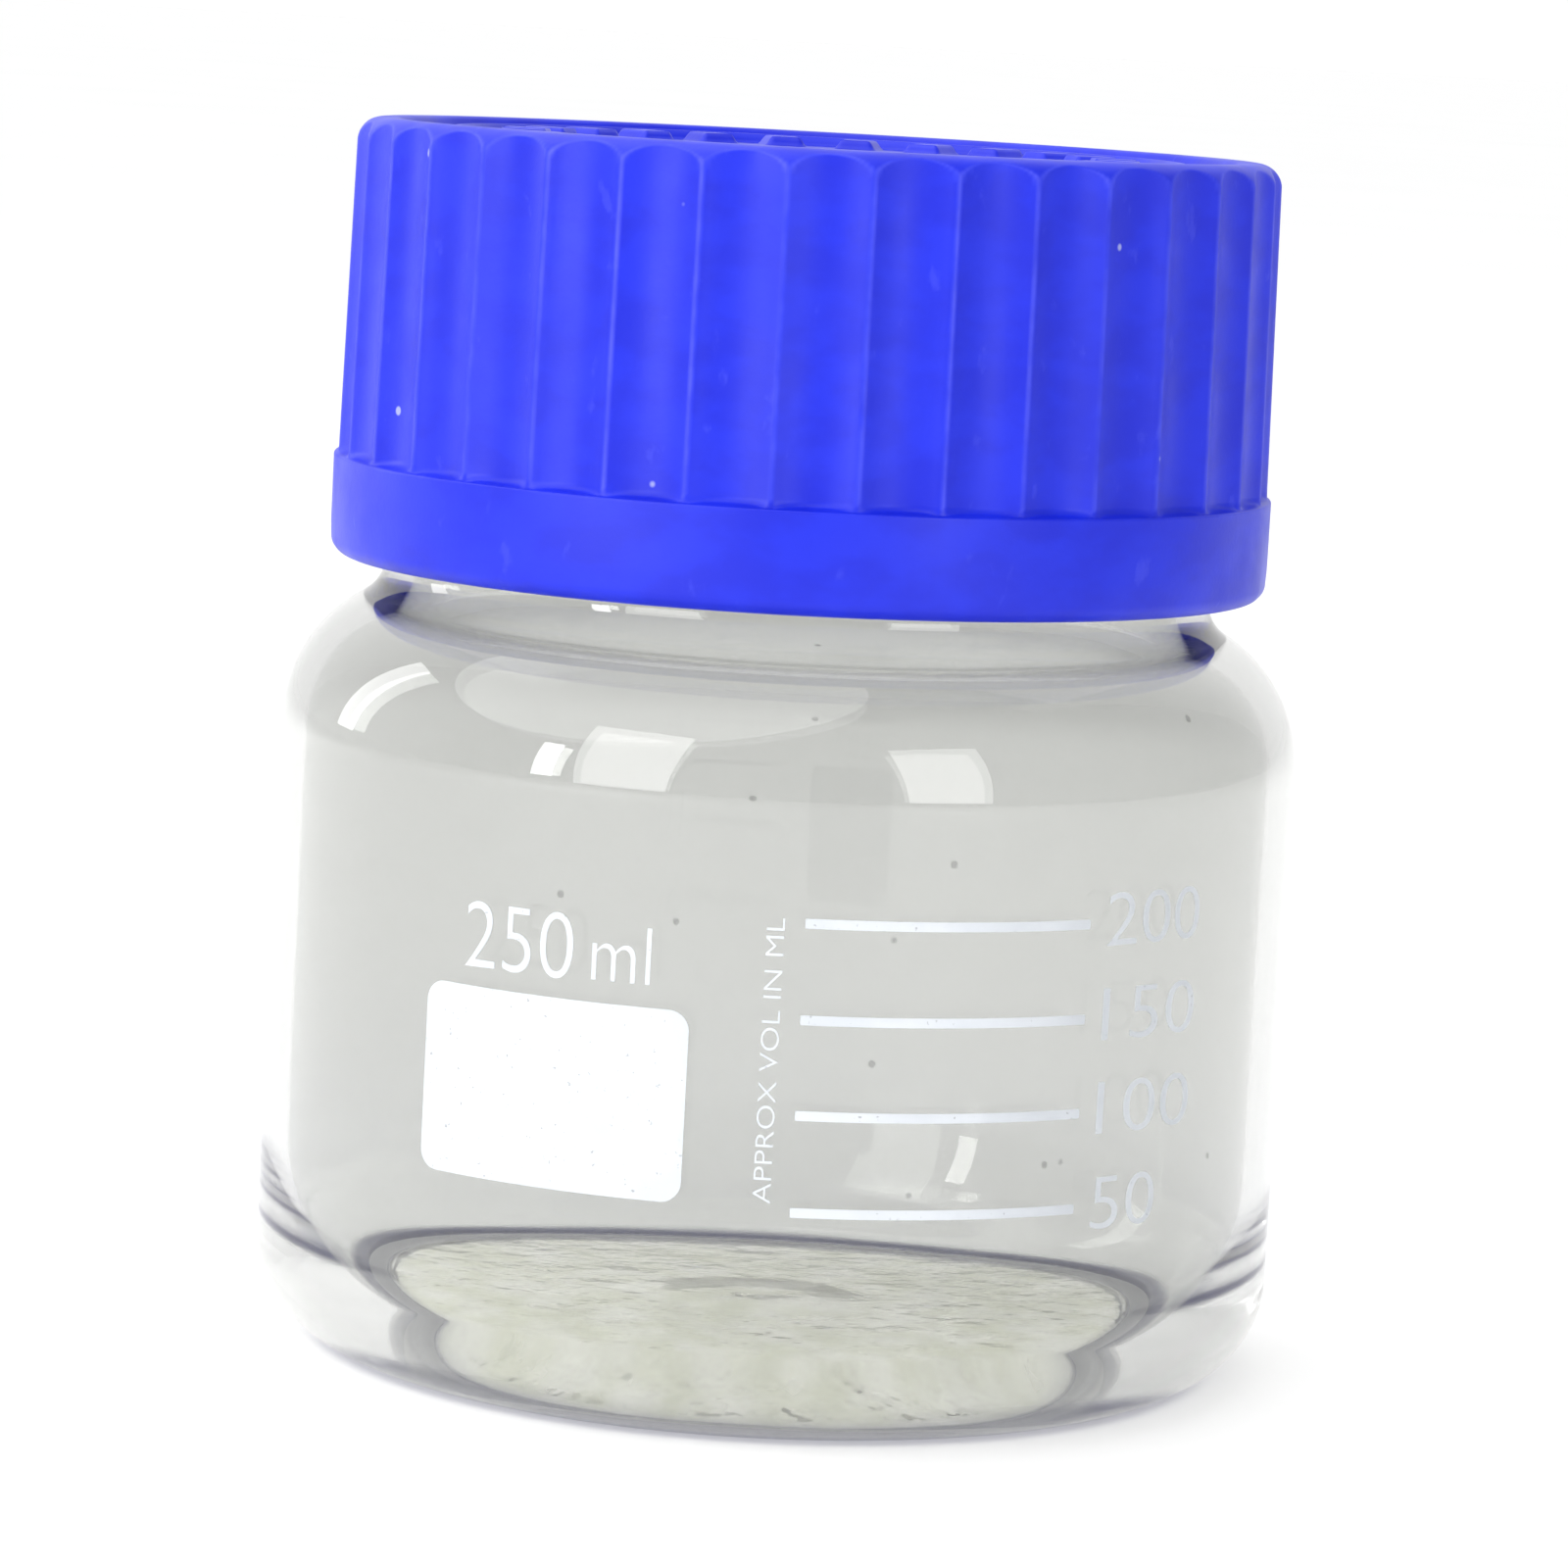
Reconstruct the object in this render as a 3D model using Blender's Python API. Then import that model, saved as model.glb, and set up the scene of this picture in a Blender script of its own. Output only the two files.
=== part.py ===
"""Wide-mouth laboratory reagent bottle, 250 ml, with a fluted screw cap.

Four pieces stand on one vertical axis: the glass bottle with a four-start thread on its neck,
the pouring ring that snaps over its lip, the seal disc, and the screw cap that holds the disc.
The cap leaves the neck on its thread: one turn counter-clockwise from above lifts it by LEAD.
All sizes below are in millimetres and become metres when a vertex is made.
"""

import math

import bmesh
import bpy

MM = 0.001
GAP = 0.3  # running clearance between pieces that touch on the real bottle

# Glass body
BODY_R = 47.5
WALL = 2.6
FOOT_R = 39.5  # outer edge of the flat ring the bottle stands on
FOOT_WIDTH = 3.2
FOOT_STEP = 0.8  # width of the slope from the foot ring up to the underside
HEEL_HEIGHT = 8.8
HEEL_POWER = 1.85  # 2 would be an ellipse, less is a slightly fuller corner
FOOT_DEPTH = 0.3  # height of that slope
PUSH_UP = 0.45  # how far the underside domes up at the axis
FLOOR_Z = 2.0  # inner floor at the axis
FLOOR_EDGE_Z = 1.8
FLOOR_R = 36.0  # where the floor starts to curve up into the wall
INNER_HEEL_HEIGHT = 17.5
INNER_HEEL_POWER = 2.2
SHOULDER_Z = 56.5  # where the side wall starts to curve in
SHOULDER_R = 14.5

# Glass neck
NECK_R = 38.3
MOUTH_R = 35.2
LIP_R = 37.3
LIP_STEP_Z = 99.6
BOTTLE_HEIGHT = 105.0
NECK_FILLET = 1.8
MOUTH_FILLET = 4.0

# Thread, shared by neck and cap
STARTS = 4
LEAD = 24.0
RIDGE_ROOT = 2.6  # axial width at the wall
RIDGE_CREST = 1.4
NECK_RIDGE_R = 39.8
NECK_RIDGE_Z = 87.0
NECK_RIDGE_SPAN = 140.0
CAP_RIDGE_R = 38.75
CAP_RIDGE_DROP = 2.2  # the cap's ridges run this far under the neck's
CAP_RIDGE_SPAN = 110.0
RIDGE_RUN_OUT = 14.0  # degrees over which a ridge rises out of its wall

# Pouring ring
RING_R = 38.45
RING_TOP_Z = 106.5
RING_SLEEVE_R = 33.7
RING_SLEEVE_Z = 100.6
RING_SKIRT_Z = 101.0

# Seal disc
SEAL_R = 39.9
SEAL_Z = RING_TOP_Z + GAP
SEAL_THICK = 2.0
SEAL_RECESS = 0.5

# Screw cap
CAP_BOTTOM_Z = 72.9
CAP_TOP_Z = 112.9
CAP_INNER_R = 40.4
BAND_R = 43.45
BAND_TOP_Z = 82.0
BAND_FILLET = 0.9
GRIP_LOW_R = 43.1
GRIP_TOP_R = 42.6
GRIP_FILLET = 2.3
FLUTES = 36
FLUTE_DEPTH = 1.0
FLUTE_PHASE = 6.5  # degrees from the front to the first ridge on the +X side
RIM_WIDTH = 2.3
TOP_RECESS = 1.3
CEILING = 2.5
SEAL_BEAD_R = 39.5

# Facets round the axis
BOTTLE_SIDES = 60
RING_SIDES = 48
SIDES_PER_FLUTE = 4


def arc(centre, radius, start, end, steps):
    """Points on a circle in the (r, z) half-plane, from start to end degrees."""
    points = []
    for i in range(steps + 1):
        angle = math.radians(start + (end - start) * i / steps)
        points.append((centre[0] + radius * math.cos(angle), centre[1] + radius * math.sin(angle)))
    return points


def heel(inner_r, outer_r, low_z, height, power, steps):
    """The rounded corner between floor and side wall, from the floor outwards and up."""
    points = []
    for i in range(steps + 1):
        angle = math.radians(90 * i / steps)
        across = math.sin(angle) ** (2 / power)
        down = max(math.cos(angle), 0.0) ** (2 / power)
        points.append((inner_r + (outer_r - inner_r) * across, low_z + height * (1 - down)))
    return points


def shoulder(radius, neck_r, fillet, steps):
    """The shoulder arc and the hollow fillet that leads it into an upright neck wall."""
    centre_r = BODY_R - SHOULDER_R
    rise = math.sqrt((radius + fillet) ** 2 - (neck_r + fillet - centre_r) ** 2)
    turn = math.degrees(math.atan2(rise, neck_r + fillet - centre_r))
    fillet_centre = (neck_r + fillet, SHOULDER_Z + rise)
    points = arc((centre_r, SHOULDER_Z), radius, 0, turn, steps)
    return points + arc(fillet_centre, fillet, 180 + turn, 180, steps // 2)[1:]


def dome(edge_r, edge_z, top_z, steps):
    """A shallow bulge from the axis out to edge_r, as a parabola."""
    points = []
    for i in range(steps):
        share = i / steps
        points.append((edge_r * share, top_z + (edge_z - top_z) * share**2))
    return points


def bottle_profile():
    """From the axis under the base, up the outside, over the lip and down the inside."""
    foot_inner = FOOT_R - FOOT_WIDTH
    lip_half = (LIP_R - MOUTH_R) / 2
    lip_centre = (MOUTH_R + lip_half, BOTTLE_HEIGHT - lip_half)
    inner_r = BODY_R - WALL
    points = dome(foot_inner - FOOT_STEP, FOOT_DEPTH, PUSH_UP, 4)
    points += [(foot_inner - FOOT_STEP, FOOT_DEPTH), (foot_inner, 0.0)]
    points += heel(FOOT_R, BODY_R, 0.0, HEEL_HEIGHT, HEEL_POWER, 6)
    points += shoulder(SHOULDER_R, NECK_R, NECK_FILLET, 6)
    points += [(NECK_R, LIP_STEP_Z), (LIP_R, LIP_STEP_Z + 1.0)]
    points += arc(lip_centre, lip_half, 0, 180, 4)
    inside = heel(FLOOR_R, inner_r, FLOOR_EDGE_Z, INNER_HEEL_HEIGHT, INNER_HEEL_POWER, 7)
    inside += shoulder(SHOULDER_R - WALL, MOUTH_R, MOUTH_FILLET, 6)
    points += reversed(inside)
    points += reversed(dome(FLOOR_R, FLOOR_EDGE_Z, FLOOR_Z, 3))
    return points


def turned(name, profile, sides, first_degrees=0.0, radius_at=None):
    """A solid of revolution. radius_at(r, z, degrees) may vary the radius round the axis."""
    shape = bmesh.new()
    rings = []
    for r, z in profile:
        if r == 0:
            rings.append([shape.verts.new((0, 0, z * MM))])
            continue
        ring = []
        for i in range(sides):
            degrees = first_degrees + 360 * i / sides
            radius = radius_at(r, z, degrees) if radius_at else r
            ring.append(shape.verts.new(at(radius, degrees, z)))
        rings.append(ring)
    closes = profile[0][0] != 0
    for low, high in zip(rings, rings[1:] + rings[:1] if closes else rings[1:]):
        for i in range(sides):
            j = (i + 1) % sides
            corners = [low[i % len(low)], low[j % len(low)], high[j % len(high)], high[i % len(high)]]
            shape.faces.new(list(dict.fromkeys(corners)))
    return solid(name, shape)


def at(radius, degrees, z):
    """A point in metres. Zero degrees is the front, -Y, and +90 is +X."""
    angle = math.radians(degrees)
    return (radius * math.sin(angle) * MM, -radius * math.cos(angle) * MM, z * MM)


def solid(name, shape):
    """An object from a bmesh, smooth where it is round, with its faces pointing out."""
    bmesh.ops.recalc_face_normals(shape, faces=shape.faces)
    mesh = bpy.data.meshes.new(name)
    shape.to_mesh(mesh)
    shape.free()
    mesh.shade_smooth()
    mesh.set_sharp_from_angle(angle=math.radians(35))
    made = bpy.data.objects.new(name, mesh)
    bpy.context.scene.collection.objects.link(made)
    return made


def thread_ridges(name, wall_r, crest_r, first_z, first_degrees, span):
    """STARTS right-handed ridges, each running out into the wall at both of its ends."""
    inward = 1 if crest_r > wall_r else -1
    root_r = wall_r - 0.5 * inward
    steps = round(span / 7)
    shape = bmesh.new()
    for start in range(STARTS):
        sections = []
        for i in range(steps + 1):
            turn = span * i / steps
            height = min(1.0, turn / RIDGE_RUN_OUT, (span - turn) / RIDGE_RUN_OUT)
            crest = root_r + (crest_r - root_r) * (0.1 + 0.9 * height)
            degrees = first_degrees + 360 * start / STARTS + turn
            z = first_z + LEAD * turn / 360
            outline = [(root_r, RIDGE_ROOT), (crest, RIDGE_CREST), (crest, -RIDGE_CREST), (root_r, -RIDGE_ROOT)]
            sections.append([shape.verts.new(at(r, degrees, z + w / 2)) for r, w in outline])
        shape.faces.new(sections[0])
        shape.faces.new(sections[-1])
        for low, high in zip(sections, sections[1:]):
            for i in range(4):
                j = (i + 1) % 4
                shape.faces.new([low[i], low[j], high[j], high[i]])
    ridges = solid(name, shape)
    ridges.hide_render = True
    ridges.display_type = "WIRE"
    return ridges


def join(target, tool):
    union = target.modifiers.new(tool.name, "BOOLEAN")
    union.operation = "UNION"
    union.solver = "EXACT"
    union.object = tool


def make_bottle():
    bottle = turned("glass_bottle", bottle_profile(), BOTTLE_SIDES)
    ridges = thread_ridges(
        "neck_thread_tool", NECK_R, NECK_RIDGE_R, NECK_RIDGE_Z, 0, NECK_RIDGE_SPAN
    )
    join(bottle, ridges)
    return bottle


def make_pouring_ring():
    """A channel turned upside down over the glass lip, with a drip edge at its outer top."""
    under_z = BOTTLE_HEIGHT + GAP
    skirt_r = LIP_R + GAP
    sleeve_outer = MOUTH_R - GAP
    profile = [
        (RING_R, RING_SKIRT_Z),
        (RING_R, RING_TOP_Z - 0.9),
        (RING_R - 0.25, RING_TOP_Z),
        (RING_R - 1.1, RING_TOP_Z),
        (RING_R - 1.5, RING_TOP_Z - 0.4),
        (RING_SLEEVE_R + 1.4, RING_TOP_Z - 0.4),
        (RING_SLEEVE_R + 0.3, RING_TOP_Z - 0.7),
        (RING_SLEEVE_R, RING_TOP_Z - 1.6),
        (RING_SLEEVE_R, RING_SLEEVE_Z),
        (sleeve_outer - 0.3, RING_SLEEVE_Z),
        (sleeve_outer, RING_SLEEVE_Z + 1.0),
        (sleeve_outer, under_z),
        (skirt_r, under_z),
        (skirt_r, RING_SKIRT_Z + 0.5),
        (skirt_r + 0.25, RING_SKIRT_Z),
    ]
    return turned("pouring_ring", profile, RING_SIDES)


def make_seal():
    """A flat disc with a thicker sealing margin over the pouring ring."""
    top_z = SEAL_Z + SEAL_THICK
    margin_r = RING_SLEEVE_R - 1.0
    profile = [
        (0, SEAL_Z + SEAL_RECESS),
        (margin_r - 1.0, SEAL_Z + SEAL_RECESS),
        (margin_r, SEAL_Z),
        (SEAL_R - 0.4, SEAL_Z),
        (SEAL_R, SEAL_Z + 0.4),
        (SEAL_R, top_z - 0.4),
        (SEAL_R - 0.4, top_z),
        (0, top_z),
    ]
    return turned("cap_seal", profile, RING_SIDES)


def grip_radius(z):
    """Radius of the flutes' ridges, which taper slightly towards the top."""
    share = (z - BAND_TOP_Z) / (CAP_TOP_Z - BAND_TOP_Z)
    return GRIP_LOW_R + (GRIP_TOP_R - GRIP_LOW_R) * share


def cap_radius(r, z, degrees):
    """The outside of the cap: hollow flutes that run up into the rounded rim."""
    across = ((degrees - FLUTE_PHASE) * FLUTES / 360) % 1.0
    off_centre = abs(2 * across - 1)  # 0 in the middle of a flute, 1 on a ridge
    if r <= CAP_INNER_R + 0.1 or z <= BAND_TOP_Z:
        return r
    return min(r, grip_radius(z) - FLUTE_DEPTH * (1 - off_centre**2))


def cap_profile():
    """From the axis under the ceiling, down the inside, up the outside and over the rim."""
    grip_top_z = CAP_TOP_Z - GRIP_FILLET
    floor_z = CAP_TOP_Z - TOP_RECESS
    ceiling_z = floor_z - CEILING
    recess_r = GRIP_TOP_R - GRIP_FILLET - RIM_WIDTH
    points = [(0, ceiling_z), (CAP_INNER_R - 0.6, ceiling_z), (CAP_INNER_R, ceiling_z - 0.6)]
    points += [(CAP_INNER_R, SEAL_Z - 0.1), (SEAL_BEAD_R, SEAL_Z - 0.5)]
    points += [(SEAL_BEAD_R, SEAL_Z - 0.9), (CAP_INNER_R, SEAL_Z - 1.5)]
    points += [(CAP_INNER_R, CAP_BOTTOM_Z + 0.5), (CAP_INNER_R + 0.5, CAP_BOTTOM_Z)]
    points += [(BAND_R - BAND_FILLET, CAP_BOTTOM_Z), (BAND_R, CAP_BOTTOM_Z + BAND_FILLET)]
    points += [(BAND_R, BAND_TOP_Z), (GRIP_LOW_R, BAND_TOP_Z + 0.3)]
    points.append((grip_radius(grip_top_z), grip_top_z))
    points += arc((GRIP_TOP_R - GRIP_FILLET, grip_top_z), GRIP_FILLET, 30, 90, 3)
    points += [(recess_r + 0.5, CAP_TOP_Z), (recess_r, floor_z), (0, floor_z)]
    return points


def make_cap():
    sides = FLUTES * SIDES_PER_FLUTE
    cap = turned("screw_cap", cap_profile(), sides, FLUTE_PHASE, cap_radius)
    ridges = thread_ridges(
        "cap_thread_tool",
        CAP_INNER_R,
        CAP_RIDGE_R,
        NECK_RIDGE_Z - CAP_RIDGE_DROP,
        0,
        CAP_RIDGE_SPAN,
    )
    join(cap, ridges)
    return cap


def material(target, name, colour, roughness, transmission=0.0):
    made = bpy.data.materials.new(name)
    made.use_nodes = True
    shader = made.node_tree.nodes["Principled BSDF"]
    shader.inputs["Base Color"].default_value = (*colour, 1)
    shader.inputs["Roughness"].default_value = roughness
    shader.inputs["Metallic"].default_value = 0.0
    shader.inputs["Transmission Weight"].default_value = transmission
    shader.inputs["IOR"].default_value = 1.47
    made.diffuse_color = (*colour, 1)
    target.data.materials.append(made)


def axis_empty(name, parent=None):
    """An empty on the bottle's axis that carries one moving piece."""
    empty = bpy.data.objects.new(name, None)
    bpy.context.scene.collection.objects.link(empty)
    empty.parent = parent
    return empty


def main():
    for old in list(bpy.data.objects):
        bpy.data.objects.remove(old, do_unlink=True)
    bottle = make_bottle()
    ring = make_pouring_ring()
    seal = make_seal()
    cap = make_cap()
    ring.parent = bottle
    lift_axis = axis_empty("cap_lift_axis", bottle)
    seal.parent = lift_axis
    cap.parent = axis_empty("cap_turn_axis", lift_axis)
    material(bottle, "clear_glass", (0.93, 0.95, 0.93), 0.02, 1.0)
    material(ring, "pouring_ring_plastic", (0.05, 0.09, 0.72), 0.4)
    material(seal, "seal_silicone", (0.86, 0.85, 0.82), 0.6)
    material(cap, "cap_plastic", (0.05, 0.07, 0.75), 0.38)


main()
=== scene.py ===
"""The looks of a wide-mouth 250 ml reagent bottle: clear glass, white enamel print, blue cap.

The CAD frame gives every place and main size. Each visible piece here is a fine mesh on the
same axis as its CAD solid and rides on that solid's body; the CAD solid it replaces is hidden.
Lengths are in millimetres until a vertex is made.
"""

import math

import bmesh
import bpy
from mathutils import Matrix, Vector


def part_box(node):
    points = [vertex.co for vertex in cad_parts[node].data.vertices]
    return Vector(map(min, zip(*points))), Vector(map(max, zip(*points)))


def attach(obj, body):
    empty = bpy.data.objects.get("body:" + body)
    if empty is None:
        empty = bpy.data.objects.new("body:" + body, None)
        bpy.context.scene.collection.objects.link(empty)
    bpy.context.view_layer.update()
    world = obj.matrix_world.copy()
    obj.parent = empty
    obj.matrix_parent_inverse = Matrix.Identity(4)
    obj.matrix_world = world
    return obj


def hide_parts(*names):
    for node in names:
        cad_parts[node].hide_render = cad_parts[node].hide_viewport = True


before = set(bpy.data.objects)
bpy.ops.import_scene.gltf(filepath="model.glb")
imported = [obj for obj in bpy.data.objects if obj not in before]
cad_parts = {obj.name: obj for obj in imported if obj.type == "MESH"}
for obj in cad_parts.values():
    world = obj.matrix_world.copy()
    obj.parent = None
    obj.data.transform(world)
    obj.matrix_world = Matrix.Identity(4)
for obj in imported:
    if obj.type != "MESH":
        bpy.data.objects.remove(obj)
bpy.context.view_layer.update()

MM = 0.001


def size_of(node):
    """Outer radius, lowest z and highest z of a round CAD node, in millimetres."""
    low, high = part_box(node)
    return (high[0] - low[0]) / 2 / MM, low[2] / MM, high[2] / MM


BODY_R, FOOT_Z, BOTTLE_TOP_Z = size_of("glass_bottle")
RING_R, RING_SKIRT_Z, RING_TOP_Z = size_of("pouring_ring")
SEAL_R, SEAL_Z, SEAL_TOP_Z = size_of("cap_seal")
BAND_R, CAP_BOTTOM_Z, CAP_TOP_Z = size_of("screw_cap")

# Glass body
WALL = 2.6
FOOT_R = 39.5
FOOT_WIDTH = 3.2
FOOT_STEP = 0.8
FOOT_DEPTH = 0.3
HEEL_HEIGHT = 8.8
HEEL_POWER = 1.85
PUSH_UP = 0.45
FLOOR_Z = 2.0
FLOOR_EDGE_Z = 1.8
FLOOR_R = 36.0
INNER_HEEL_HEIGHT = 17.5
INNER_HEEL_POWER = 2.2
SHOULDER_Z = 56.5
SHOULDER_R = 14.5

# Small hollow in the middle of the underside
PONTIL_R = 10.0
PONTIL_EDGE = 5.0
PONTIL_RISE = 0.9

# Glass neck
NECK_R = 38.3
MOUTH_R = 35.2
LIP_R = 37.3
LIP_STEP_Z = 99.6
NECK_FILLET = 4.0
MOUTH_FILLET = 6.0

# Thread
STARTS = 4
LEAD = 24.0
RIDGE_ROOT = 2.6
RIDGE_CREST = 1.4
NECK_RIDGE_R = 39.8
NECK_RIDGE_Z = 87.0
NECK_RIDGE_SPAN = 140.0
CAP_RIDGE_R = 38.75
CAP_RIDGE_DROP = 2.2
CAP_RIDGE_SPAN = 110.0
RUN_OUT = 14.0

# Screw cap
CAP_INNER_R = 40.4
BAND_TOP_Z = 82.0
GRIP_LOW_R = 43.1
GRIP_TOP_R = 42.6
GRIP_FILLET = 2.3
FLUTES = 36
FLUTE_DEPTH = 1.0
FLUTE_PHASE = 6.5
CREST_WIDTH = 0.06
ARCH_EDGE = 0.22
RIM_WIDTH = 2.3
TOP_RECESS = 1.3
CEILING = 2.5
SEAL_BEAD_R = 39.5
EMBOSS_HEIGHT = 0.9
EMBOSS_BARS = 24
EMBOSS_SHARE = 0.62
EMBOSS_R = 27.5
EMBOSS_WIDTH = 4.2
EMBOSS_BEAD_R = 33.4
EMBOSS_ROWS = [34.4 - 0.25 * i for i in range(44)] + [20, 12, 4, 0]

# Glass tints. The pale floor tints are partly painted light under the base, and the foot colour is a
# painted contact shadow.
FOOT_CONTACT_SHADE = (0.09, 0.09, 0.16)
WALL_DARK = (0.69, 0.695, 0.680)
WALL_LIGHT = (0.705, 0.71, 0.695)
FLOOR_LIT_DARK = (0.86, 0.87, 0.76)
FLOOR_LIT_PALE = (0.98, 0.98, 0.93)

# Blue polypropylene: dark and light mottle, a pale colour for scuffs and for the painted crest highlight,
# and chips
PLASTIC_DARK = (0.004, 0.014, 0.55)
PLASTIC_LIGHT = (0.006, 0.020, 0.63)
PLASTIC_SCUFF_AND_HIGHLIGHT = (0.06, 0.08, 0.74)
PLASTIC_CHIP = (0.42, 0.45, 0.7)
PLASTIC_SPECULAR = 0.35

# Seal disc colours
SEAL_DARK = (0.60, 0.62, 0.66)
SEAL_LIGHT = (0.68, 0.69, 0.72)

# White enamel print. Angles run round the glass from the front, heights are from the foot.
PRINT_LIFT = 0.02
PRINT_THICK = 0.07
BAR_START = 2.8
BAR_END = 34.8
BAR_HEIGHT = 0.85
BAR_CORNER = 0.12
BAR_Z = {50: 21.8, 100: 30.3, 150: 38.65, 200: 47.05}
NUMERAL_START = 37.2
NUMERAL_HEIGHT = 4.7
NUMERAL_PITCH = 4.1
NUMERAL_GAP = 0.5
NUMERAL_RISE = 0.35
LETTER_THINNING = -0.012
CAPACITY = ("250", -34.7, 10.8, 40.5, 5.8)
CAPACITY_UNIT = ("ml", -19.5, 5.3, 40.8, 4.9)
NOTE = "APPROX VOL IN ML"
NOTE_HEIGHT = 1.55
NOTE_DEGREES = 0.7
NOTE_Z = (22.5, 47.4)
FIELD_START, FIELD_END = -39.6, -8.7
FIELD_Z = (22.0, 38.8)
FIELD_CORNER = 1.8

# Facets
GLASS_SIDES = 288
FLUTE_SIDES = 20
ROW = 0.4
NECK_ROW = 0.18


# ---------------------------------------------------------------- profiles


def arc(centre, radius, start, end, steps):
    points = []
    for i in range(steps + 1):
        angle = math.radians(start + (end - start) * i / steps)
        points.append((centre[0] + radius * math.cos(angle), centre[1] + radius * math.sin(angle)))
    return points


def heel(inner_r, outer_r, low_z, height, power, steps):
    points = []
    for i in range(steps + 1):
        angle = math.radians(90 * i / steps)
        across = math.sin(angle) ** (2 / power)
        down = max(math.cos(angle), 0.0) ** (2 / power)
        points.append((inner_r + (outer_r - inner_r) * across, low_z + height * (1 - down)))
    return points


def shoulder(radius, neck_r, fillet, steps):
    centre_r = BODY_R - SHOULDER_R
    rise = math.sqrt((radius + fillet) ** 2 - (neck_r + fillet - centre_r) ** 2)
    turn = math.degrees(math.atan2(rise, neck_r + fillet - centre_r))
    fillet_centre = (neck_r + fillet, SHOULDER_Z + rise)
    points = arc((centre_r, SHOULDER_Z), radius, 0, turn, steps)
    return points + arc(fillet_centre, fillet, 180 + turn, 180, steps // 2)[1:]


def dome(edge_r, edge_z, top_z, steps):
    points = []
    for i in range(steps):
        share = i / steps
        points.append((edge_r * share, top_z + (edge_z - top_z) * share**2))
    return points


def rows(r, low_z, high_z, step=ROW):
    """Evenly spaced points up a straight wall, both ends left out."""
    count = max(1, round((high_z - low_z) / step))
    return [(r, low_z + (high_z - low_z) * i / count) for i in range(1, count)]


def rounded(points, radius, steps=5):
    """The same open outline with each inner corner replaced by a small curve."""
    result = [points[0]]
    for before, corner, after in zip(points, points[1:], points[2:]):
        here = Vector(corner)
        back = Vector(before) - here
        ahead = Vector(after) - here
        reach = min(radius, back.length * 0.45, ahead.length * 0.45)
        start = here + back.normalized() * reach
        end = here + ahead.normalized() * reach
        for i in range(steps + 1):
            t = i / steps
            result.append(tuple(start * (1 - t) ** 2 + here * (2 * t * (1 - t)) + end * t**2))
    return result + [points[-1]]


def smooth(value):
    """0 to 1 with soft ends."""
    value = min(1.0, max(0.0, value))
    return value * value * (3 - 2 * value)


def ridge_height(degrees, z, first_z, span):
    """How far a point stands up on a thread ridge, 0 at the wall and 1 on the crest."""
    height = 0.0
    for start in range(STARTS):
        turn = (degrees - 360 * start / STARTS) % 360
        if turn >= span:
            continue
        off = abs(z - first_z - LEAD * turn / 360)
        flank = smooth((RIDGE_ROOT / 2 + 0.25 - off) / ((RIDGE_ROOT - RIDGE_CREST) / 2 + 0.5))
        run_out = smooth(min(turn, span - turn) / RUN_OUT)
        height = max(height, flank * run_out)
    return height


# ---------------------------------------------------------------- meshes


def at(radius, degrees, z):
    """A point in metres. Zero degrees is the front, -Y, and +90 is +X."""
    angle = math.radians(degrees)
    return (radius * math.sin(angle) * MM, -radius * math.cos(angle) * MM, z * MM)


def turned(name, profile, sides, first_degrees=0.0, radius_at=None, sharp=40, lift_at=None):
    """A fine solid of revolution. radius_at and lift_at (r, z, degrees, row) may vary r and z."""
    shape = bmesh.new()
    rings = []
    for row, (r, z) in enumerate(profile):
        if r < 1e-6:
            rings.append([shape.verts.new((0, 0, z * MM))])
            continue
        ring = []
        for i in range(sides):
            degrees = first_degrees + 360 * i / sides
            radius = radius_at(r, z, degrees, row) if radius_at else r
            height = lift_at(r, z, degrees, row) if lift_at else z
            ring.append(shape.verts.new(at(radius, degrees, height)))
        rings.append(ring)
    closes = profile[0][0] > 1e-6
    for low, high in zip(rings, rings[1:] + rings[:1] if closes else rings[1:]):
        for i in range(sides):
            j = (i + 1) % sides
            corners = [low[i % len(low)], low[j % len(low)], high[j % len(high)], high[i % len(high)]]
            shape.faces.new(list(dict.fromkeys(corners)))
    bmesh.ops.recalc_face_normals(shape, faces=shape.faces)
    return piece(name, shape, sharp)


def piece(name, shape, sharp=40):
    mesh = bpy.data.meshes.new(name)
    shape.to_mesh(mesh)
    shape.free()
    mesh.shade_smooth()
    mesh.set_sharp_from_angle(angle=math.radians(sharp))
    made = bpy.data.objects.new(name, mesh)
    bpy.context.scene.collection.objects.link(made)
    return made


def inner_glass(steps=32):
    """The wetted surface, from the edge of the floor up to the mouth."""
    inner_r = BODY_R - WALL
    inside = heel(FLOOR_R, inner_r, FLOOR_EDGE_Z, INNER_HEEL_HEIGHT, INNER_HEEL_POWER, steps)
    return inside + shoulder(SHOULDER_R - WALL, MOUTH_R, MOUTH_FILLET, steps)


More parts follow.
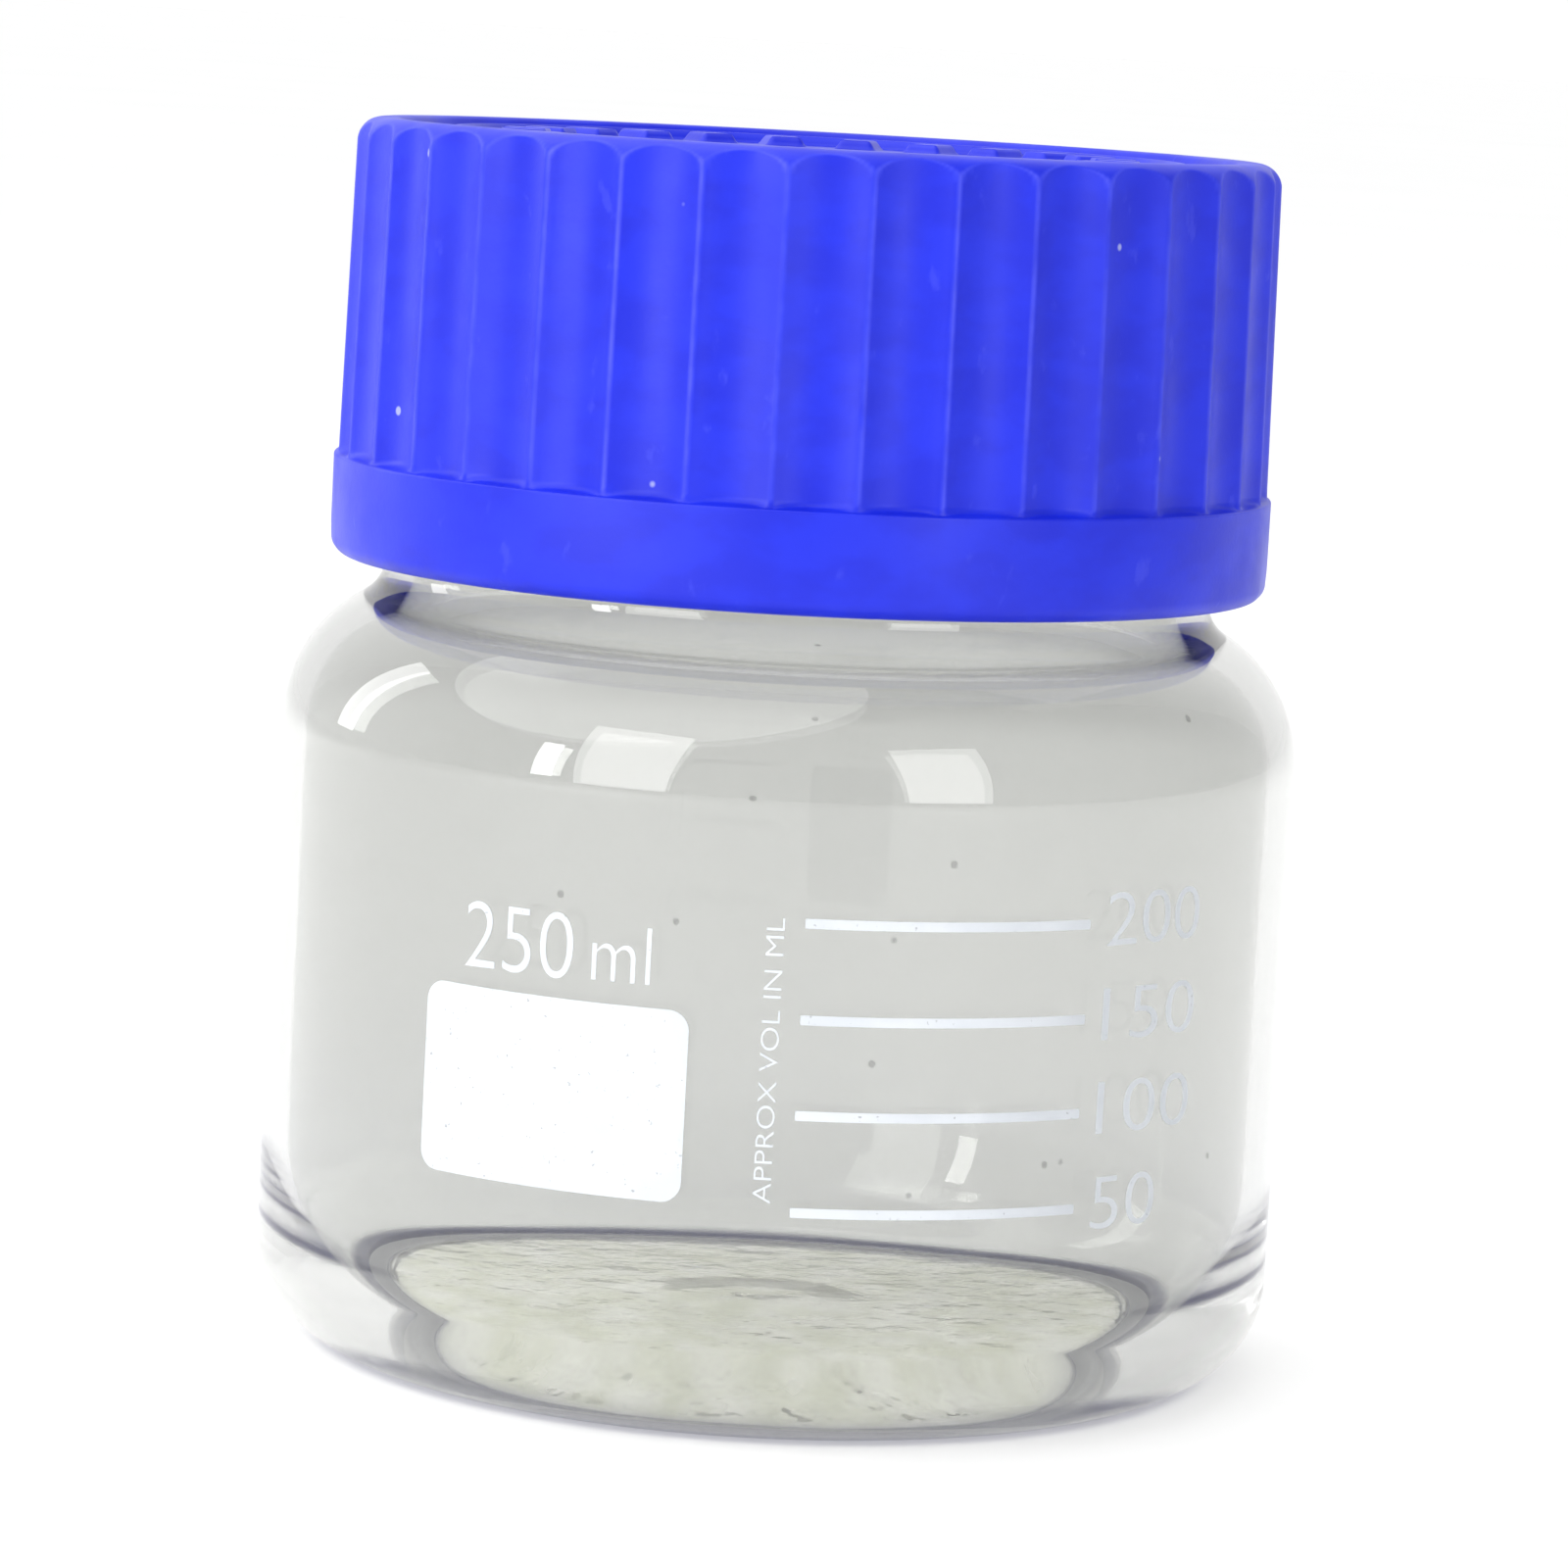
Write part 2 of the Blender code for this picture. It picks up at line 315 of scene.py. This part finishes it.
def make_glass():
    foot_inner = FOOT_R - FOOT_WIDTH
    lip_half = (LIP_R - MOUTH_R) / 2
    lip_centre = (MOUTH_R + lip_half, BOTTLE_TOP_Z - lip_half)
    points = dome(foot_inner - FOOT_STEP, FOOT_DEPTH, PUSH_UP, 24)
    step = [points[-1], (foot_inner - FOOT_STEP, FOOT_DEPTH), (foot_inner, 0.0), (FOOT_R, 0.0)]
    points += rounded(step, 0.35)[1:-1]
    points += heel(FOOT_R, BODY_R, 0.0, HEEL_HEIGHT, HEEL_POWER, 32)
    points += shoulder(SHOULDER_R, NECK_R, NECK_FILLET, 32)
    points += rows(NECK_R, points[-1][1], LIP_STEP_Z, NECK_ROW)
    points += rounded([(NECK_R, LIP_STEP_Z), (NECK_R, LIP_STEP_Z + 0.3), (LIP_R, LIP_STEP_Z + 1.3),
                       (LIP_R, LIP_STEP_Z + 3.0)], 0.6)
    points += arc(lip_centre, lip_half, 0, 180, 14)
    points += reversed(inner_glass())
    points += reversed(dome(FLOOR_R, FLOOR_EDGE_Z, FLOOR_Z, 24))

    def radius_at(r, z, degrees, row):
        if abs(r - NECK_R) > 1e-4:
            return r
        return r + (NECK_RIDGE_R - NECK_R) * ridge_height(degrees, z, NECK_RIDGE_Z, NECK_RIDGE_SPAN)

    def lift_at(r, z, degrees, row):
        underneath = z <= PUSH_UP and r < PONTIL_R
        return z + PONTIL_RISE * smooth((PONTIL_R - r) / PONTIL_EDGE) if underneath else z

    return turned("bottle_glass", points, GLASS_SIDES, radius_at=radius_at, lift_at=lift_at)


def make_pouring_ring():
    gap = 0.3
    under_z = BOTTLE_TOP_Z + gap
    skirt_r = LIP_R + gap
    sleeve_outer = MOUTH_R - gap
    sleeve_r = MOUTH_R - 1.5
    sleeve_z = RING_SKIRT_Z
    outline = [
        (skirt_r + 0.2, RING_SKIRT_Z + 0.4),
        (RING_R, RING_SKIRT_Z + 0.4),
        (RING_R, RING_TOP_Z - 0.9),
        (RING_R - 0.25, RING_TOP_Z),
        (RING_R - 1.1, RING_TOP_Z),
        (RING_R - 1.5, RING_TOP_Z - 0.4),
        (sleeve_r + 1.4, RING_TOP_Z - 0.4),
        (sleeve_r + 0.3, RING_TOP_Z - 0.7),
        (sleeve_r, RING_TOP_Z - 1.6),
        (sleeve_r, sleeve_z),
        (sleeve_outer - 0.3, sleeve_z),
        (sleeve_outer, sleeve_z + 1.0),
        (sleeve_outer, under_z),
        (skirt_r, under_z),
        (skirt_r, RING_SKIRT_Z + 0.9),
    ]
    return turned("pour_ring", rounded(outline, 0.22, 4), 240)


def make_seal():
    margin_r = MOUTH_R - 2.5
    outline = [
        (0, SEAL_Z + 0.5),
        (margin_r - 1.0, SEAL_Z + 0.5),
        (margin_r, SEAL_Z),
        (SEAL_R - 0.2, SEAL_Z),
        (SEAL_R, SEAL_Z + 0.3),
        (SEAL_R, SEAL_TOP_Z - 0.3),
        (SEAL_R - 0.2, SEAL_TOP_Z),
        (0, SEAL_TOP_Z),
    ]
    return turned("seal_disc", rounded(outline, 0.2, 4), 240)


def grip_radius(z):
    share = (z - BAND_TOP_Z) / (CAP_TOP_Z - BAND_TOP_Z)
    return GRIP_LOW_R + (GRIP_TOP_R - GRIP_LOW_R) * share


def flute_hollow(degrees):
    """Depth of a flute below the ridges beside it, with a narrow crest left on each ridge."""
    across = ((degrees - FLUTE_PHASE) * FLUTES / 360) % 1.0
    off_centre = abs(2 * across - 1)
    return FLUTE_DEPTH * max(CREST_WIDTH, 1 - off_centre**2)


def emboss_height(r, degrees):
    """Plain raised bars in a ring on the cap's top, where a maker's lettering would stand."""
    turn = (degrees * EMBOSS_BARS / 360) % 1.0
    along = smooth((EMBOSS_SHARE / 2 - abs(turn - 0.5)) * 8)
    ring = smooth((EMBOSS_WIDTH / 2 - abs(r - EMBOSS_R)) / 0.4 + 0.5)
    bead = smooth((0.7 - abs(r - EMBOSS_BEAD_R)) / 0.5)
    return EMBOSS_HEIGHT * max(along * ring, bead)


def make_cap():
    """The cap shell: hollow flutes over a plain band outside, thread ridges inside."""
    grip_top_z = CAP_TOP_Z - GRIP_FILLET
    floor_z = CAP_TOP_Z - TOP_RECESS
    ceiling_z = floor_z - CEILING
    recess_r = GRIP_TOP_R - GRIP_FILLET - RIM_WIDTH
    ridge_z = NECK_RIDGE_Z - CAP_RIDGE_DROP
    ridge_top_z = ridge_z + LEAD * CAP_RIDGE_SPAN / 360 + RIDGE_ROOT
    inside = rounded([(0, ceiling_z), (CAP_INNER_R, ceiling_z), (CAP_INNER_R, SEAL_Z - 0.1),
                      (SEAL_BEAD_R, SEAL_Z - 0.5), (SEAL_BEAD_R, SEAL_Z - 0.9),
                      (CAP_INNER_R, SEAL_Z - 1.5), (CAP_INNER_R, ridge_top_z)], 0.3)
    inside += reversed(rows(CAP_INNER_R, ridge_z - RIDGE_ROOT, ridge_top_z))
    outside = rounded([(CAP_INNER_R, ridge_z - RIDGE_ROOT), (CAP_INNER_R, CAP_BOTTOM_Z + 0.4),
                       (CAP_INNER_R + 0.4, CAP_BOTTOM_Z), (BAND_R - 0.9, CAP_BOTTOM_Z),
                       (BAND_R - 0.1, CAP_BOTTOM_Z + 0.9), (BAND_R, CAP_BOTTOM_Z + 3),
                       (BAND_R, BAND_TOP_Z), (GRIP_LOW_R - 0.05, BAND_TOP_Z + 0.12)], 0.5, 6)
    grip_start = len(inside) + len(outside)
    outside += [(grip_radius(z), z) for z in (BAND_TOP_Z + 0.2, BAND_TOP_Z + 0.45, BAND_TOP_Z + 0.9)]
    outside += [(grip_radius(z), z) for z in (86, 92, 98, 104, 109, grip_top_z)]
    outside += arc((GRIP_TOP_R - GRIP_FILLET, grip_top_z), GRIP_FILLET, 0, 90, 24)[1:]
    top_start = len(inside) + len(outside)
    rim = [outside[-1], (recess_r + 0.7, CAP_TOP_Z), (recess_r, floor_z), (recess_r - 3, floor_z)]
    outside += rounded(rim, 0.45)[1:]
    outside += [(r, floor_z) for r in EMBOSS_ROWS]

    def radius_at(r, z, degrees, row):
        if row >= top_start:
            return r
        if row < grip_start:
            if abs(r - CAP_INNER_R) > 1e-4 or z > ridge_top_z:
                return r
            height = ridge_height(degrees, z, ridge_z, CAP_RIDGE_SPAN)
            return r + (CAP_RIDGE_R - CAP_INNER_R) * height
        foot = smooth((z - BAND_TOP_Z) / 0.5)
        return min(r, grip_radius(z) - flute_hollow(degrees) * foot)

    def lift_at(r, z, degrees, row):
        return z + emboss_height(r, degrees) if row >= top_start and r < recess_r - 1 else z

    cap = turned("cap_shell", inside + outside, FLUTES * FLUTE_SIDES, FLUTE_PHASE, radius_at, 65, lift_at)
    # Mask of the flute crests and arch edges, where the plastic material paints a pale highlight.
    crest = cap.data.attributes.new("crest", "FLOAT", "POINT")
    for vert, value in zip(cap.data.vertices, crest.data):
        x, y, z = (c / MM for c in vert.co)
        below = grip_radius(z) - math.hypot(x, y)
        if BAND_TOP_Z + 0.5 < z < grip_top_z:
            value.value = smooth((CREST_WIDTH + 0.12 - abs(below)) / 0.12)
        elif grip_top_z <= z < CAP_TOP_Z - 0.05:
            round_r = GRIP_TOP_R - GRIP_FILLET + math.sqrt(GRIP_FILLET**2 - (z - grip_top_z) ** 2)
            degrees = math.degrees(math.atan2(x, -y))
            arch = round_r - grip_radius(z) + flute_hollow(degrees)
            outside = math.hypot(x, y) > round_r - 0.6
            value.value = smooth(1 - abs(arch) / ARCH_EDGE) if outside else 0.0
    return cap


# ---------------------------------------------------------------- print


def on_glass(name, shape):
    """Wrap a flat closed piece round the glass: x runs round, y runs up, z is 0 to 1 outwards."""
    for vert in shape.verts:
        around, up, out = vert.co
        radius = BODY_R + PRINT_LIFT + PRINT_THICK * out
        vert.co = at(radius, math.degrees(around / BODY_R), up)
    bmesh.ops.recalc_face_normals(shape, faces=shape.faces)
    return piece(name, shape, 50)


def arc_at(degrees):
    """How far round the glass an angle lies, in millimetres."""
    return math.radians(degrees) * BODY_R


def plate(name, first_degrees, last_degrees, low_z, high_z, corner):
    """A printed rectangle with rounded corners."""
    start, end = arc_at(first_degrees), arc_at(last_degrees)
    turns = [math.radians(90 * i / 8) for i in range(9)]
    columns = [(start + corner * (1 - math.cos(a)), corner * (1 - math.sin(a))) for a in turns]
    middle = round(end - start)
    for i in range(1, middle):
        columns.append((start + corner + (end - start - 2 * corner) * i / middle, 0.0))
    columns += [(end - corner * (1 - math.cos(a)), corner * (1 - math.sin(a))) for a in reversed(turns)]
    shape = bmesh.new()
    sections = []
    for around, inset in columns:
        low, high = low_z + inset, high_z - inset
        corners = [(around, low, 0), (around, high, 0), (around, high, 1), (around, low, 1)]
        sections.append([shape.verts.new(c) for c in corners])
    shape.faces.new(sections[0])
    shape.faces.new(sections[-1])
    for here, there in zip(sections, sections[1:]):
        for i in range(4):
            j = (i + 1) % 4
            shape.faces.new([here[i], here[j], there[j], there[i]])
    return on_glass(name, shape)


def lettering(name, text, first_degrees, length, low_z, height, upwards=False):
    """Generic characters fitted into a length and a height; upwards makes them read up the glass."""
    curve = bpy.data.curves.new(name, "FONT")
    curve.body = text
    curve.extrude = 0.5
    curve.offset = LETTER_THINNING
    curve.resolution_u = 6
    holder = bpy.data.objects.new(name + "_text", curve)
    mesh = bpy.data.meshes.new_from_object(holder)
    shape = bmesh.new()
    shape.from_mesh(mesh)
    bmesh.ops.remove_doubles(shape, verts=shape.verts, dist=1e-5)
    bpy.data.objects.remove(holder)
    bpy.data.curves.remove(curve)
    bpy.data.meshes.remove(mesh)
    left = min(v.co.x for v in shape.verts)
    right = max(v.co.x for v in shape.verts)
    low = min(v.co.y for v in shape.verts)
    high = max(v.co.y for v in shape.verts)
    for vert in shape.verts:
        along = length * (vert.co.x - left) / (right - left)
        up = height * (vert.co.y - low) / (high - low)
        out = vert.co.z + 0.5
        if upwards:
            vert.co = (arc_at(first_degrees) - up, low_z + along, out)
        else:
            vert.co = (arc_at(first_degrees) + along, low_z + up, out)
    return on_glass(name, shape)


def make_print():
    prints = [plate("marking_field", FIELD_START, FIELD_END, *FIELD_Z, FIELD_CORNER)]
    for volume, z in BAR_Z.items():
        low_z, high_z = z - BAR_HEIGHT / 2, z + BAR_HEIGHT / 2
        prints.append(plate(f"level_bar_{volume}", BAR_START, BAR_END, low_z, high_z, BAR_CORNER))
        text = str(volume)
        length = NUMERAL_PITCH * len(text) - NUMERAL_GAP
        numeral_z = z + NUMERAL_RISE - NUMERAL_HEIGHT / 2
        name = f"level_numeral_{volume}"
        prints.append(lettering(name, text, NUMERAL_START, length, numeral_z, NUMERAL_HEIGHT))
    prints.append(lettering("capacity_number", *CAPACITY))
    prints.append(lettering("capacity_unit", *CAPACITY_UNIT))
    note_length = NOTE_Z[1] - NOTE_Z[0]
    prints.append(lettering("volume_note", NOTE, NOTE_DEGREES, note_length, NOTE_Z[0], NOTE_HEIGHT, True))
    return prints


# ---------------------------------------------------------------- materials


def shader_of(name):
    made = bpy.data.materials.new(name)
    made.use_nodes = True
    return made, made.node_tree, made.node_tree.nodes["Principled BSDF"]


def dress(target, made):
    target.data.materials.clear()
    target.data.materials.append(made)


def place_of(tree):
    """Where on the piece a point lies, in metres."""
    return tree.nodes.new("ShaderNodeTexCoord").outputs["Object"]


def noise_of(tree, size_mm, detail=2.0, stretch=(1, 1, 1)):
    """Soft noise with blobs about size_mm across."""
    mapping = tree.nodes.new("ShaderNodeMapping")
    mapping.inputs["Scale"].default_value = stretch
    texture = tree.nodes.new("ShaderNodeTexNoise")
    texture.inputs["Scale"].default_value = 1000 / size_mm
    texture.inputs["Detail"].default_value = detail
    tree.links.new(place_of(tree), mapping.inputs["Vector"])
    tree.links.new(mapping.outputs["Vector"], texture.inputs["Vector"])
    return texture.outputs["Fac"]


def specks_of(tree, spacing_mm, radius_mm):
    """1 inside sparse round specks, 0 elsewhere."""
    texture = tree.nodes.new("ShaderNodeTexVoronoi")
    texture.inputs["Scale"].default_value = 1000 / spacing_mm
    tree.links.new(place_of(tree), texture.inputs["Vector"])
    edge = radius_mm / spacing_mm
    return remap(tree, texture.outputs["Distance"], edge, edge * 0.6, 0, 1)


def remap(tree, value, low, high, to_low, to_high):
    node = tree.nodes.new("ShaderNodeMapRange")
    node.interpolation_type = "SMOOTHSTEP"
    for socket, number in (("From Min", low), ("From Max", high), ("To Min", to_low), ("To Max", to_high)):
        node.inputs[socket].default_value = number
    tree.links.new(value, node.inputs["Value"])
    return node.outputs["Result"]


def maths(tree, operation, first, second):
    node = tree.nodes.new("ShaderNodeMath")
    node.operation = operation
    for socket, value in zip(node.inputs, (first, second)):
        if isinstance(value, (int, float)):
            socket.default_value = value
        else:
            tree.links.new(value, socket)
    return node.outputs["Value"]


def mixed(tree, factor, first, second):
    """Colour between first and second; either may be a colour or another node's output."""
    node = tree.nodes.new("ShaderNodeMix")
    node.data_type = "RGBA"
    tree.links.new(factor, node.inputs["Factor"])
    colours = [socket for socket in node.inputs if socket.type == "RGBA"]
    for socket, value in zip(colours, (first, second)):
        if isinstance(value, tuple):
            socket.default_value = (*value, 1)
        else:
            tree.links.new(value, socket)
    return next(socket for socket in node.outputs if socket.type == "RGBA")


def part_of(tree, vector, axis):
    split = tree.nodes.new("ShaderNodeSeparateXYZ")
    tree.links.new(vector, split.inputs[0])
    return split.outputs[axis]


def off_axis(tree):
    """Distance from the bottle's axis, in metres."""
    flat = tree.nodes.new("ShaderNodeMapping")
    flat.inputs["Scale"].default_value = (1, 1, 0)
    length = tree.nodes.new("ShaderNodeVectorMath")
    length.operation = "LENGTH"
    tree.links.new(place_of(tree), flat.inputs["Vector"])
    tree.links.new(flat.outputs["Vector"], length.inputs[0])
    return length.outputs["Value"]


def bumped(tree, shader, layers):
    """Stack bumps on a shader: each layer is a height output and its depth in millimetres."""
    last = None
    for height, depth_mm in layers:
        node = tree.nodes.new("ShaderNodeBump")
        node.inputs["Distance"].default_value = depth_mm * MM
        tree.links.new(height, node.inputs["Height"])
        if last:
            tree.links.new(last, node.inputs["Normal"])
        last = node.outputs["Normal"]
    tree.links.new(last, shader.inputs["Normal"])


def glass_material():
    """Tinted glass with drawn waviness, a few seeds, a greenish mottled moulded base painted pale and
    partly hazy as light under it, and a foot ring painted dark as its contact shadow.
    """
    made, tree, shader = shader_of("clear_borosilicate")
    shader.inputs["IOR"].default_value = 1.47
    height = part_of(tree, place_of(tree), "Z")
    low = remap(tree, height, 0.0032, 0.0012, 0, 1)
    inside_foot = remap(tree, off_axis(tree), 0.0372, 0.0350, 0, 1)
    base = maths(tree, "MULTIPLY", low, inside_foot)
    # The base floor has a greenish mottle of its own, and is tinted far paler than the walls as painted
    # light under the base.
    mottle = remap(tree, noise_of(tree, 5, 4.0), 0.38, 0.62, 0, 1)
    wall = mixed(tree, noise_of(tree, 30), WALL_DARK, WALL_LIGHT)
    floor = mixed(tree, mottle, FLOOR_LIT_DARK, FLOOR_LIT_PALE)
    tinted = mixed(tree, base, wall, floor)
    # Painted contact shadow: just above the floor the foot ring is coloured dark and made partly opaque.
    foot_low = remap(tree, height, 0.0012, 0.0003, 0, 1)
    foot_shade_mask = maths(tree, "MULTIPLY", foot_low, remap(tree, off_axis(tree), 0.0360, 0.0368, 0, 1))
    tinted = mixed(tree, foot_shade_mask, tinted, FOOT_CONTACT_SHADE)
    seeds = maths(tree, "MULTIPLY", specks_of(tree, 12, 0.5), 0.7)
    tree.links.new(mixed(tree, seeds, tinted, (0.12, 0.12, 0.12)), shader.inputs["Base Color"])
    # Painted light under the base: the base is made partly hazy so its pale tint reads lit; the foot's
    # painted shadow also takes clearness away.
    base_haze_light = maths(tree, "MULTIPLY", base, remap(tree, noise_of(tree, 4, 5.0), 0.35, 0.7, 0.06, 0.26))
    haze_light_and_foot_shade = maths(tree, "MAXIMUM", base_haze_light, maths(tree, "MULTIPLY", foot_shade_mask, 0.8))
    tree.links.new(maths(tree, "SUBTRACT", 1.0, haze_light_and_foot_shade), shader.inputs["Transmission Weight"])
    smudge = remap(tree, noise_of(tree, 22, 3.0), 0.52, 0.75, 0, 0.02)
    roughness = maths(tree, "ADD", smudge, maths(tree, "MULTIPLY", base, 0.05))
    tree.links.new(roughness, shader.inputs["Roughness"])
    wave = noise_of(tree, 26, 1.0, (1, 1, 0.5))
    chill = maths(tree, "MULTIPLY", noise_of(tree, 6, 3.0), base)
    bumped(tree, shader, [(wave, 0.16), (chill, 0.35)])
    return made


def plastic_material(name):
    """Moulded polypropylene: mottled colour, satin grain, pale scuffs and a painted highlight along the
    crests.
    """
    made, tree, shader = shader_of(name)
    mottle = remap(tree, noise_of(tree, 7, 3.0, (1, 1, 1.8)), 0.35, 0.65, 0, 1)
    colour = mixed(tree, mottle, PLASTIC_DARK, PLASTIC_LIGHT)
    # Painted highlight: the flute crests and arch edges are coloured paler, in patches.
    crest = tree.nodes.new("ShaderNodeAttribute")
    crest.attribute_name = "crest"
    crest_highlight_patches = remap(tree, noise_of(tree, 3), 0.3, 0.7, 0.25, 0.6)
    crest_highlight = maths(tree, "MULTIPLY", crest.outputs["Fac"], crest_highlight_patches)
    colour = mixed(tree, crest_highlight, colour, PLASTIC_SCUFF_AND_HIGHLIGHT)
    scuff = remap(tree, noise_of(tree, 2.4, 6.0, (1, 1, 0.6)), 0.64, 0.74, 0, 0.28)
    colour = mixed(tree, scuff, colour, PLASTIC_SCUFF_AND_HIGHLIGHT)
    chips = maths(tree, "MULTIPLY", specks_of(tree, 9, 0.5), 0.7)
    colour = mixed(tree, chips, colour, PLASTIC_CHIP)
    tree.links.new(colour, shader.inputs["Base Color"])
    shader.inputs["Specular IOR Level"].default_value = PLASTIC_SPECULAR
    satin = remap(tree, noise_of(tree, 9, 4.0), 0.3, 0.7, 0.36, 0.48)
    tree.links.new(satin, shader.inputs["Roughness"])
    grain = noise_of(tree, 0.5, 2.0)
    sink = noise_of(tree, 9, 1.0)
    bumped(tree, shader, [(sink, 0.12), (grain, 0.012), (scuff, 0.05)])
    return made


def silicone_material():
    made, tree, shader = shader_of("silicone")
    cloud = remap(tree, noise_of(tree, 8, 3.0), 0.3, 0.7, 0, 1)
    tree.links.new(mixed(tree, cloud, SEAL_DARK, SEAL_LIGHT), shader.inputs["Base Color"])
    tree.links.new(remap(tree, noise_of(tree, 3, 3.0), 0.3, 0.7, 0.5, 0.68), shader.inputs["Roughness"])
    bumped(tree, shader, [(noise_of(tree, 0.6, 2.0), 0.015)])
    return made


def enamel_material():
    """Fired white print: satin, slightly uneven, with pinholes, and fading towards the right-hand end."""
    made, tree, shader = shader_of("white_enamel")
    cloud = remap(tree, noise_of(tree, 5, 4.0), 0.3, 0.7, 0, 1)
    tree.links.new(mixed(tree, cloud, (0.60, 0.63, 0.67), (0.66, 0.69, 0.73)), shader.inputs["Base Color"])
    tree.links.new(remap(tree, noise_of(tree, 2, 3.0), 0.3, 0.7, 0.38, 0.55), shader.inputs["Roughness"])
    # The print fades towards the right-hand end.
    fade_to_right = remap(tree, part_of(tree, place_of(tree), "X"), 0.016, 0.032, 1.0, 0.72)
    pinholes = remap(tree, noise_of(tree, 0.45, 2.0), 0.24, 0.32, 0.55, 1.0)
    tree.links.new(maths(tree, "MULTIPLY", fade_to_right, pinholes), shader.inputs["Alpha"])
    bumped(tree, shader, [(noise_of(tree, 0.4, 2.0), 0.01)])
    return made


def floor_material():
    made, tree, shader = shader_of("pale_floor")
    cloud = noise_of(tree, 400, 3.0)
    tree.links.new(mixed(tree, cloud, (0.9, 0.9, 0.9), (0.93, 0.93, 0.93)), shader.inputs["Base Color"])
    tree.links.new(remap(tree, noise_of(tree, 60), 0.3, 0.7, 0.75, 0.85), shader.inputs["Roughness"])
    return made


# ---------------------------------------------------------------- stage

CAMERA_PLACE = Vector((0, -550, 123.4))
CAMERA_AIM = Vector((-0.18, 0, 52.9))
CAMERA_LENS = 136.2
CAMERA_ROLL = 3.1


def make_camera():
    data = bpy.data.cameras.new("photo_camera")
    data.lens = CAMERA_LENS
    data.sensor_width = 36
    data.clip_start = 0.01
    camera = bpy.data.objects.new("photo_camera", data)
    turn = (CAMERA_AIM - CAMERA_PLACE).to_track_quat("-Z", "Y").to_matrix().to_4x4()
    roll = Matrix.Rotation(math.radians(CAMERA_ROLL), 4, "Z")
    camera.matrix_world = Matrix.Translation(CAMERA_PLACE * MM) @ turn @ roll
    bpy.context.scene.collection.objects.link(camera)
    bpy.context.scene.camera = camera


def area_light(name, place, aim, size, power):
    data = bpy.data.lights.new(name, "AREA")
    data.shape = "RECTANGLE"
    data.size, data.size_y = size[0] * MM, size[1] * MM
    data.energy = power
    lamp = bpy.data.objects.new(name, data)
    lamp.location = Vector(place) * MM
    lamp.rotation_euler = (Vector(aim) - Vector(place)).to_track_quat("-Z", "Y").to_euler()
    bpy.context.scene.collection.objects.link(lamp)


# Studio. Each area light has its place, its aim, its width and height, and its power in watts.
ROOM_LEAN = (-0.35, 0.93, 0.05)  # the world brightens in this direction
WHITE_FROM = -0.1
WHITE_TO = 0.75
ROOM_GREY = 0.42
BACKDROP_WHITE = 1.02
BOTTLE_MIDDLE = (0, 0, 70)
AREA_LIGHTS = {
    "box_left": ((-620, -860, 430), BOTTLE_MIDDLE, (420, 760), 4.2),
    "box_left_edge": ((-960, -700, 330), BOTTLE_MIDDLE, (110, 420), 2.2),
    "box_right": ((620, -860, 430), BOTTLE_MIDDLE, (380, 700), 3.2),
    "window_left": ((-900, 420, 420), BOTTLE_MIDDLE, (140, 620), 1.2),
    "back_bank": ((0, 450, 850), (0, 300, 0), (1300, 800), 1.5),
}
SUN_DIRECTION = (0.45, 0.25, -1)
SUN_DEGREES = 70
SUN_POWER = 1.7
FLOOR_HALF_M = 40
LIGHT_BOUNCES = 32


def make_world():
    """A soft studio: white behind the bottle and to its left, grey in front and to its right."""
    world = bpy.data.worlds.new("soft_studio")
    world.use_nodes = True
    tree = world.node_tree
    place = tree.nodes.new("ShaderNodeTexCoord")
    lean = tree.nodes.new("ShaderNodeVectorMath")
    lean.operation = "DOT_PRODUCT"
    lean.inputs[1].default_value = ROOM_LEAN
    tree.links.new(place.outputs["Generated"], lean.inputs[0])
    level = remap(tree, lean.outputs["Value"], WHITE_FROM, WHITE_TO, ROOM_GREY, BACKDROP_WHITE)
    tree.links.new(level, tree.nodes["Background"].inputs["Color"])
    bpy.context.scene.world = world


def make_floor():
    mesh = bpy.data.meshes.new("floor")
    half = FLOOR_HALF_M
    corners = [(-half, -half, 0), (half, -half, 0), (half, half, 0), (-half, half, 0)]
    mesh.from_pydata(corners, [], [(0, 1, 2, 3)])
    floor = bpy.data.objects.new("floor", mesh)
    bpy.context.scene.collection.objects.link(floor)
    dress(floor, floor_material())


def make_lights():
    for name, light in AREA_LIGHTS.items():
        area_light(name, *light)
    sun_data = bpy.data.lights.new("ceiling_bank", "SUN")
    sun_data.energy = SUN_POWER
    sun_data.angle = math.radians(SUN_DEGREES)
    sun = bpy.data.objects.new("ceiling_bank", sun_data)
    sun.rotation_euler = Vector(SUN_DIRECTION).to_track_quat("-Z", "Y").to_euler()
    bpy.context.scene.collection.objects.link(sun)


def make_stage():
    scene = bpy.context.scene
    scene.view_settings.view_transform = "Standard"
    scene.cycles.max_bounces = LIGHT_BOUNCES
    scene.cycles.glossy_bounces = LIGHT_BOUNCES
    scene.cycles.transmission_bounces = LIGHT_BOUNCES
    make_world()
    make_floor()
    make_lights()


def add(piece_made, body, node, look):
    """Dress a piece, let it ride on its body and let it stand for its CAD node."""
    dress(piece_made, look)
    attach(piece_made, body)
    if node:
        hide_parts(node)


make_camera()
make_stage()

glass = make_glass()
glass.visible_shadow = False  # light reaches the floor under the base through the glass
add(glass, "bottle", "glass_bottle", glass_material())
add(make_pouring_ring(), "bottle", "pouring_ring", plastic_material("ring_plastic"))
add(make_seal(), "seal", "cap_seal", silicone_material())
add(make_cap(), "cap", "screw_cap", plastic_material("blue_polypropylene"))
enamel = enamel_material()
for printed in make_print():
    add(printed, "bottle", None, enamel)
